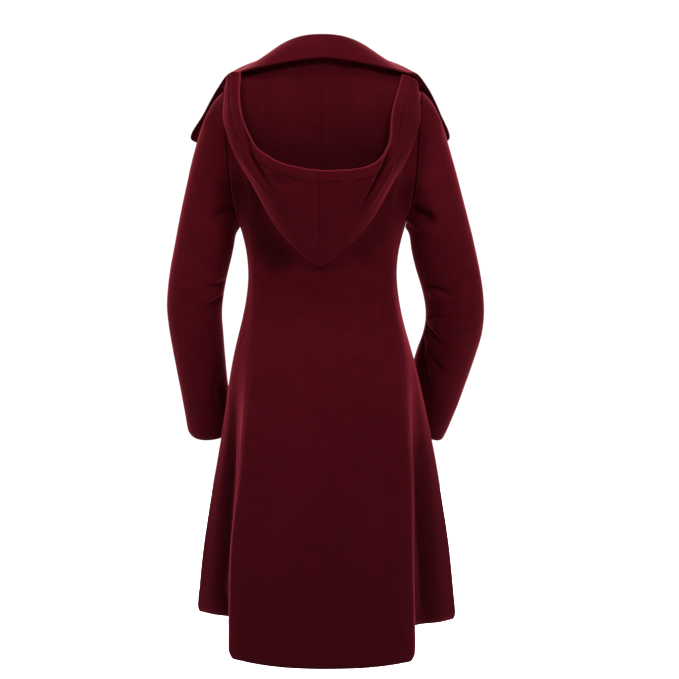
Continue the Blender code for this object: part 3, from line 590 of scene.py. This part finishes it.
# How much each is uneven, how long its waves are in millimetres, and the seed they are drawn from
uneven = {"cloth": (0.5, 90.0, 3), "seam": (0.6, 20.0, 8), "band": (0.5, 16.0, 5)}
# Painted shade on the nap: how strong it is in folds, on the hood and inside it
shading = {
    "fold": 0.95,  # how strong the painted shade is in a fold
    "foldDeep": 5.0,  # and how deep in it that painted shade is full
    "pouch": 0.3,  # painted shade on the hood outside its band, and from where to where that begins
    "pouchFrom": (18.0, 30.0),
    "inside": 0.78,  # painted shade inside the hood, where it is turned away and low down
    "turned": (0.0, 0.5),
    "below": (0.0, 170.0),
}


def nearShelter(points, shelter):
    # the distance from a path in x and z alone
    path = smoothPath([(x, 0.0, z) for x, z in shelter["path"]], 8)
    return nearestOf(points * (1.0, 0.0, 1.0), path)[0]


def groove(gap, deep, wide):
    return deep * np.exp(-(gap / wide) ** 2)


def wavy(points, kind):
    much, size, seed = uneven[kind]
    return much * unevenness(points, size, seed)


def pressedShift(name, piece):
    # how far each point goes in or comes out where the piece is pressed
    points, ways, gaps = piece["points"], piece["ways"], piece["gaps"]
    shift = np.zeros(points.shape[:2])
    for fold in folds:
        if name in fold["on"]:
            near = [cloth[other]["points"].reshape(-1, 3) for other in fold["on"]]
            nearWays = [cloth[other]["ways"].reshape(-1, 3) for other in fold["on"]]
            shift += foldShift(fold, points, ways, np.concatenate(near), np.concatenate(nearWays))
    shift += wavy(points, "cloth")
    shift -= groove(piece["seamGap"], *pressing["seam"]) * (1.0 + wavy(points, "seam"))
    if name in hood:
        fromBand = gaps["high"] - pressing["bandAt"]
        shift -= groove(fromBand, *pressing["band"]) * (1.0 + wavy(points, "band"))
    if "curl" in piece:
        edge, wide, deep = piece["curl"]
        shift -= deep * np.clip(1.0 - gaps[edge] / wide, 0.0, 1.0) ** 2
    return shift


def wallThickness(name, piece):
    # turned hems are thicker, open edges are rounded, and sewn ones a little thinner
    gaps, (before, after) = piece["gaps"], pressing["hemFade"]
    turned = sum(1.0 - fade(gaps[edge], deep + before, deep + after)
                 for edge, deep in piece["hems"].items())
    full = pressing["hoodHem" if name in hood else "hem"]
    thick = panels[name]["thick"] + full * np.minimum(turned, 1.0)
    inward = np.clip(piece["hemGap"] / pressing["edgeIn"], 0.0, 1.0)
    rounding = np.sqrt(1.0 - (1.0 - inward) ** 2)
    fromSeam = fade(piece["seamGap"], 0.0, pressing["seamIn"])
    for least, share in ((pressing["edgeThick"], rounding), (pressing["seamThick"], fromSeam)):
        thick = thick * (least + (1.0 - least) * share)
    return thick


def napDullness(name, piece, points, shift):
    # painted shade: darker in folds, along the shelters' paths, and on and inside the hood
    paintedShade = shading["fold"] * np.clip(-shift / shading["foldDeep"], 0.0, 1.0)
    for shelter in shelters:
        if name in shelter["on"]:
            near = 1.0 - fade(nearShelter(points, shelter), *shelter["reach"])
            paintedShade = np.maximum(paintedShade, shelter["much"] * near)
    if name in hood:
        turned = fade(-piece["ways"][..., 1], *shading["turned"])
        inside = turned * fade(-points[..., 2], *shading["below"])
        pouch = shading["pouch"] * fade(piece["gaps"]["high"], *shading["pouchFrom"])
        paintedShade = np.maximum(paintedShade, np.maximum(pouch, shading["inside"] * inside))
    return paintedShade


print("reading the panels")
for name, piece in cloth.items():
    piece["closed"] = "turn" in panels[name]
    points = meetAtSeams(finePanel(name), {edge: pressing["seamReach"] for edge in piece["sewn"]})
    if name in hood:
        points = reachPath(points, faceEdge, pressing["edgeDepth"])
        points = meetAtSeams(points, {"low": pressing["neckReach"]})
    along, up = lengthsAlong(points, 1), lengthsAlong(points, 0)
    gaps = dict(start=along, end=along[:, -1:] - along, low=up, high=up[-1:] - up)
    far = np.full(up.shape, pressing["farOff"])
    piece["seamGap"] = np.minimum.reduce([far] + [gaps[edge] for edge in piece["sewn"]])
    piece["hemGap"] = np.minimum.reduce([far] + [gaps[edge] for edge in piece["hems"]])
    piece["points"], piece["gaps"] = points, gaps

print("easing the sleeves into the armholes")
for side in ("left", "right"):
    names = ("back", "side_back_" + side, "front_" + side, "sleeve_" + side)
    around = [cloth[name]["points"].reshape(-1, 3) for name in names]
    seam = cloth[names[-1]]["points"][0, :-1].copy()
    lift = easeArmhole(seam, np.concatenate(around[:-1]), around[-1])
    for name in names:
        far, which = nearestOf(cloth[name]["points"], seam)
        share = np.clip(1.0 - far / armhole["reach"], 0.0, 1.0) ** 2
        cloth[name]["points"] = cloth[name]["points"] + lift[which] * share[..., None]
for piece in cloth.values():
    piece["ways"] = waysOut(piece["points"], piece["closed"])

print("pressing folds and seams")
for name, piece in cloth.items():
    gaps, closed = piece["gaps"], piece["closed"]
    shift, thick = pressedShift(name, piece), wallThickness(name, piece)
    points = piece["points"] + piece["ways"] * shift[..., None]
    ways = waysOut(points, closed)
    if name in hood:
        fromCentre = gaps["end" if name == "hood_left" else "start"]
        middle = groove(fromCentre, 1.0, pressing["centreWide"])
        ways = unit(ways * np.stack([1.0 - middle, np.ones_like(middle), np.ones_like(middle)], -1))
    if closed:
        points[:, -1], ways[:, -1] = points[:, 0], ways[:, 0]
    # the points carry the painted shade as an attribute
    fields = {"seamGap": piece["seamGap"], "hemGap": piece["hemGap"],
              "paintedShade": napDullness(name, piece, points, shift)}
    if name in hood:
        fields["stitchGap"] = abs(gaps["high"] - pressing["stitchAt"])
    piece["object"] = sewShell(piece["title"], points, ways, thick, closed, fields)
    faces = piece["object"].data.polygons
    area = sum(face.area for face in faces) / 2
    print("sewn", piece["title"], 2 * len(faces), "triangles", round(area, 4), "m2")


# Materials

def feed(tree, inputs, links):
    # each input gets what feeds it: an output socket or a fixed value
    for socket, source in links:
        if isinstance(source, bpy.types.NodeSocket):
            tree.links.new(source, inputs[socket])
        else:
            inputs[socket].default_value = source


def addNode(tree, kind, links=(), **settings):
    node = tree.nodes.new("ShaderNode" + kind)
    for key, value in settings.items():
        setattr(node, key, value)
    feed(tree, node.inputs, links)
    return node


def noise(tree, where, scale, detail, rough=0.5):
    links = [("Vector", where), ("Scale", scale), ("Detail", detail), ("Roughness", rough)]
    return addNode(tree, "TexNoise", links).outputs[0]


def ranged(tree, value, start, end, low=0.0, high=1.0, curve="LINEAR"):
    # what runs from start to end then runs from low to high
    links = [("Value", value), ("From Min", start), ("From Max", end), ("To Min", low),
             ("To Max", high)]
    return addNode(tree, "MapRange", links, interpolation_type=curve).outputs[0]


def mixed(tree, share, first, second, how="MIX"):
    links = [("Fac", share), ("Color1", first), ("Color2", second)]
    return addNode(tree, "MixRGB", links, blend_type=how).outputs[0]


def worked(tree, operation, *values):
    return addNode(tree, "Math", enumerate(values), operation=operation).outputs[0]


def bumped(tree, height, strength, distance):
    links = [("Height", height), ("Strength", strength), ("Distance", distance)]
    return addNode(tree, "Bump", links).outputs[0]


def measured(tree, title):
    # a value that the cloth's points carry
    return addNode(tree, "Attribute", attribute_name=title).outputs["Fac"]


def newGroup(title, inputs, outputs):
    # a node group, the sockets that come in, and those that go out
    group = bpy.data.node_groups.new(title, "ShaderNodeTree")
    for socketName, kind, value in inputs:
        socket = group.interface.new_socket(socketName, in_out="INPUT",
                                            socket_type="NodeSocket" + kind)
        if value is not None:
            socket.default_value = value
    for socketName, kind in outputs:
        group.interface.new_socket(socketName, in_out="OUTPUT", socket_type="NodeSocket" + kind)
    come, go = group.nodes.new("NodeGroupInput"), group.nodes.new("NodeGroupOutput")
    return group, come.outputs, go.inputs


def newMaterial(title):
    # a material, its node tree, the inputs of its shader, and the Object coordinates
    material = bpy.data.materials.new(title)
    material.use_nodes = True
    tree = material.node_tree
    where = addNode(tree, "TexCoord").outputs["Object"]
    return material, tree, tree.nodes["Principled BSDF"].inputs, where


napLook = {
    "deep": (0.028, 0.0010, 0.0025, 1),  # in the shadowed side of the nap
    "full": (0.052, 0.0022, 0.0048, 1),  # the cloth's own colour
    "lit": (0.068, 0.0033, 0.0072, 1),  # where the nap is brushed towards the light
    "lowShade": (0.029, 0.0012, 0.0038, 1),  # painted shade that makes the lower skirt cooler and darker
    "lowFrom": (-0.42, -1.02, 0.0, 0.85),  # from which height to which it comes, and how much
    "seamDark": (0.014, 0.001, 0.002, 1),  # painted shade down in a seam, and from how near it that begins
    "seamFrom": (1.5, 0.1),
    "paintedShade": (0.36, 0.30, 0.30, 1),  # how much of the colour is left under the painted shade
    "rimHighlight": (0.125, 0.009, 0.019, 1),  # painted highlight along the turned edge of the hood
    "clouds": (9.0, 4.0, 0.55),  # scale, detail and roughness of the brushed clouds
    "swirls": (46.0, 3.0, 0.6),
    "fibres": (900.0, 3.0, 0.7),
    "tufts": (260.0, 2.0, 0.6),
    "fibreLong": (1.0, 1.0, 0.34),  # fibres and tufts are longer up the cloth
    "brushed": (0.36, 0.7, 0.0, 0.75),  # where the clouds are lit, and how much
    "hollow": (0.58, 0.28, 0.0, 0.45),  # where the swirls are deep
    "specks": (0.62, 0.3, 0.0, 0.55),  # where the fibres are deep
    "rough": (0.3, 0.7, 0.86, 0.98),
    "tuftHigh": 0.9,
    "bump": (0.45, 0.0005),
    "specular": 0.02,
    "sheenWeight": 0.32,
    "sheenRough": 0.42,
    "sheenTint": (1.0, 0.08, 0.14, 1),
}


def makeNap():
    # brushed wool nap: soft clouds where a hand has brushed it, fibres, and a little pilling
    group, come, go = newGroup(
        "brushedNap",
        [("Vector", "Vector", None), ("Deep", "Color", napLook["deep"]),
         ("Full", "Color", napLook["full"]), ("Lit", "Color", napLook["lit"]),
         ("Low Shade", "Color", napLook["lowShade"]), ("Low", "Float", 0.0)],
        [("Color", "Color"), ("Roughness", "Float"), ("Height", "Float")])
    where = come["Vector"]
    stretched = addNode(group, "Mapping", [("Vector", where), ("Scale", napLook["fibreLong"])])
    clouds = noise(group, where, *napLook["clouds"])
    swirls = noise(group, where, *napLook["swirls"])
    fibres = noise(group, stretched.outputs[0], *napLook["fibres"])
    tufts = noise(group, stretched.outputs[0], *napLook["tufts"])
    colour = mixed(group, ranged(group, clouds, *napLook["brushed"]), come["Full"], come["Lit"])
    colour = mixed(group, ranged(group, swirls, *napLook["hollow"]), colour, come["Deep"])
    colour = mixed(group, ranged(group, fibres, *napLook["specks"]), colour, come["Deep"])
    # painted shade: the lower skirt mixed cooler and darker
    colour = mixed(group, come["Low"], colour, come["Low Shade"])
    height = worked(group, "ADD", fibres, worked(group, "MULTIPLY", tufts, napLook["tuftHigh"]))
    feed(group, go, [("Color", colour), ("Height", height),
                     ("Roughness", ranged(group, swirls, *napLook["rough"]))])
    return group


stitchLook = {
    "length": 3.4,  # millimetres from one stitch to the next
    "width": 0.55,
    "part": (0.42, 0.32),  # the share of that length which is thread, with soft ends
    "side": (1.0, 0.5),  # the share of the width
    "pull": (4.5, 0.0),  # how many widths away the cloth is drawn in, which is painted in shade
    "thread": (0.045, 0.003, 0.007, 1),
    "raised": 0.8,
    # how strong the painted shade in the drawn-in cloth is, and its colour
    "sunk": 0.8,
    "grooveShade": (0.016, 0.001, 0.002, 1),
    "rimHighlight": (3.6, 0.6, 0.0, 0.75),  # from where to where the painted highlight on the edge reaches, and how much
}


def makeStitching():
    # a row of sunk stitches along a line that an attribute measures the distance from
    group, come, go = newGroup(
        "stitchRow",
        [("Gap", "Float", 1.0), ("Run", "Float", 0.0), ("Length", "Float", stitchLook["length"]),
         ("Width", "Float", stitchLook["width"])],
        [("Mask", "Float"), ("Pull", "Float")])
    part = worked(group, "FRACT", worked(group, "DIVIDE", come["Run"], come["Length"]))
    away = worked(group, "ABSOLUTE", worked(group, "SUBTRACT", part, 0.5))
    across = worked(group, "DIVIDE", come["Gap"], come["Width"])
    within = ranged(group, away, *stitchLook["part"])
    beside = ranged(group, across, *stitchLook["side"])
    feed(group, go, [("Mask", worked(group, "MULTIPLY", within, beside)),
                     ("Pull", ranged(group, across, *stitchLook["pull"], curve="SMOOTHSTEP"))])
    return group


brushedNap, stitchRow = makeNap(), makeStitching()


def addStitching(tree, colour, height):
    # the hood's row of stitches, the painted shade of its groove and the painted highlight along
    # its edge, over the cloth's colour and height
    flat = addNode(tree, "UVMap", uv_map="cloth").outputs[0]
    run = addNode(tree, "SeparateXYZ", [(0, flat)]).outputs["X"]
    row = addNode(tree, "Group", node_tree=stitchRow)
    feed(tree, row.inputs, [("Gap", measured(tree, "stitchGap")),
                            ("Run", worked(tree, "MULTIPLY", run, 1.0 / mm))])
    mask, pull = row.outputs["Mask"], row.outputs["Pull"]
    colour = mixed(tree, mask, colour, stitchLook["thread"])
    # painted shade in the groove that the stitches draw in
    sunk = worked(tree, "MULTIPLY", pull, stitchLook["sunk"])
    colour = mixed(tree, sunk, colour, stitchLook["grooveShade"])
    # painted highlight along the hood's turned edge
    rimHighlight = ranged(tree, measured(tree, "hemGap"), *stitchLook["rimHighlight"], curve="SMOOTHSTEP")
    colour = mixed(tree, rimHighlight, colour, napLook["rimHighlight"])
    return colour, worked(tree, "MULTIPLY_ADD", mask, stitchLook["raised"], height)


def coatingMaterial(title, seamShade, stitched=False):
    material, tree, shader, where = newMaterial(title)
    height = addNode(tree, "SeparateXYZ", [(0, where)]).outputs["Z"]
    nap = addNode(tree, "Group", node_tree=brushedNap)
    # painted shade, growing towards the hem
    low = ranged(tree, height, *napLook["lowFrom"], curve="SMOOTHSTEP")
    feed(tree, nap.inputs, [("Vector", where), ("Low", low)])
    # painted shade down in the seams
    inSeam = ranged(tree, measured(tree, "seamGap"), *napLook["seamFrom"], curve="SMOOTHSTEP")
    inSeam = worked(tree, "MULTIPLY", inSeam, seamShade)
    colour = mixed(tree, inSeam, nap.outputs["Color"], napLook["seamDark"])
    # painted shade: the colour is darkened as far as each point carries it
    colour = mixed(tree, measured(tree, "paintedShade"), colour, napLook["paintedShade"], how="MULTIPLY")
    lifted = nap.outputs["Height"]
    if stitched:
        colour, lifted = addStitching(tree, colour, lifted)
    feed(tree, shader, [
        ("Base Color", colour), ("Roughness", nap.outputs["Roughness"]),
        ("Normal", bumped(tree, lifted, *napLook["bump"])),
        ("Specular IOR Level", napLook["specular"]), ("Sheen Weight", napLook["sheenWeight"]),
        ("Sheen Roughness", napLook["sheenRough"]), ("Sheen Tint", napLook["sheenTint"])])
    return material


print("colouring the cloth")
coating = coatingMaterial("burgundyCoating", 0.35)
hoodCoating = coatingMaterial("burgundyCoatingStitched", 0.65, stitched=True)
for name, piece in cloth.items():
    piece["object"].data.materials.append(hoodCoating if name in hood else coating)
    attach(piece["object"], "root")
    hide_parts(name)


buttonLook = {
    "base": (0.026, 0.003, 0.006, 1),
    "worn": (0.050, 0.008, 0.013, 1),
    "clouds": (160.0, 4.0),
    "grain": (1400.0, 2.0),
    "rough": (0.3, 0.7, 0.42, 0.58),
    "bump": (0.15, 0.0002),
    "specular": 0.16,
}


def buttonMaterial():
    material, tree, shader, where = newMaterial("winePlasticButton")
    cloud = noise(tree, where, *buttonLook["clouds"])
    grain = noise(tree, where, *buttonLook["grain"])
    feed(tree, shader, [
        ("Base Color", mixed(tree, cloud, buttonLook["base"], buttonLook["worn"])),
        ("Roughness", ranged(tree, cloud, *buttonLook["rough"])),
        ("Normal", bumped(tree, grain, *buttonLook["bump"])),
        ("Specular IOR Level", buttonLook["specular"])])
    return material


print("colouring the buttons")
buttonPlastic = buttonMaterial()
for k in range(1, 5):
    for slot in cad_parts["button_" + str(k)].material_slots:
        slot.material = buttonPlastic


# The studio

studio = {
    "floorZ": -1.42,
    "floorSize": 16.0,
    "seen": 1.05,  # how bright the world looks to the camera
    "light": 0.03,  # and how much it lights
    "glowSeen": 0.78,  # the same for the floor
    "glow": 0.12,
    "paper": (0.90, 0.94),  # from the floor's darkest grain to its lightest
    "paperGrain": (3.0, 5.0),
    "paperRough": 0.9,
}


def cameraElse(tree, seen, light):
    # one value where the camera looks, and another for the light
    looked = addNode(tree, "LightPath").outputs["Is Camera Ray"]
    return ranged(tree, looked, 0.0, 1.0, light, seen)


def makeStudio():
    white = (1, 1, 1, 1)
    world = bpy.data.worlds.new("studio")
    bpy.context.scene.world = world
    world.use_nodes = True
    tree = world.node_tree
    feed(tree, tree.nodes["Background"].inputs, [
        ("Color", white), ("Strength", cameraElse(tree, studio["seen"], studio["light"]))])
    bpy.ops.object.select_all(action="DESELECT")
    bpy.ops.mesh.primitive_plane_add(size=studio["floorSize"], location=(0, 0, studio["floorZ"]))
    floor = bpy.context.object
    floor.name = "floor"
    bpy.ops.object.transform_apply(location=True, rotation=True, scale=True)
    paper, tree, shader, where = newMaterial("palePaper")
    grain = noise(tree, where, *studio["paperGrain"])
    feed(tree, shader, [
        ("Base Color", ranged(tree, grain, 0.0, 1.0, *studio["paper"])),
        ("Roughness", studio["paperRough"]), ("Emission Color", white),
        ("Emission Strength", cameraElse(tree, studio["glowSeen"], studio["glow"]))])
    floor.data.materials.append(paper)


def addLight(title, place, aim, size, watts):
    data = bpy.data.lights.new(title, "AREA")
    data.shape, data.size, data.energy = "DISK", size, watts
    lamp = bpy.data.objects.new(title, data)
    lamp.location = place
    x, y, z = np.array(place) - np.array(aim)
    lamp.rotation_euler = (atan2(np.hypot(x, y), z), 0, atan2(y, x) + pi / 2)
    bpy.context.scene.collection.objects.link(lamp)


lights = [
    dict(title="keyLight", place=(-1.6, 2.3, 1.25), aim=(0, 0, -0.3), size=0.8, watts=51),
    dict(title="leftLight", place=(1.6, 2.3, 1.25), aim=(0, 0, -0.3), size=0.8, watts=33),
    dict(title="frontLight", place=(0.0, 2.5, 1.6), aim=(0, 0, -0.3), size=0.8, watts=8),
    dict(title="topLight", place=(0.2, 0.9, 1.9), aim=(0, 0, 0.0), size=0.9, watts=37),
    dict(title="backLight", place=(0.0, -5.5, 3.6), aim=(0, -4.5, -1.4), size=7.0, watts=1100),
]
view = {"lens": 94.26, "sensor": 36.0, "farthest": 100.0, "place": (-0.0304, 3.2, -0.492),
        "turn": (90, 0, 180)}


def addCamera():
    data = bpy.data.cameras.new("camera")
    data.lens, data.sensor_width, data.clip_end = view["lens"], view["sensor"], view["farthest"]
    camera = bpy.data.objects.new("camera", data)
    camera.location = view["place"]
    camera.rotation_euler = [radians(angle) for angle in view["turn"]]
    bpy.context.scene.collection.objects.link(camera)
    bpy.context.scene.camera = camera


print("setting up the studio")
makeStudio()
for light in lights:
    addLight(**light)
addCamera()
bpy.context.scene.view_settings.view_transform = "Standard"
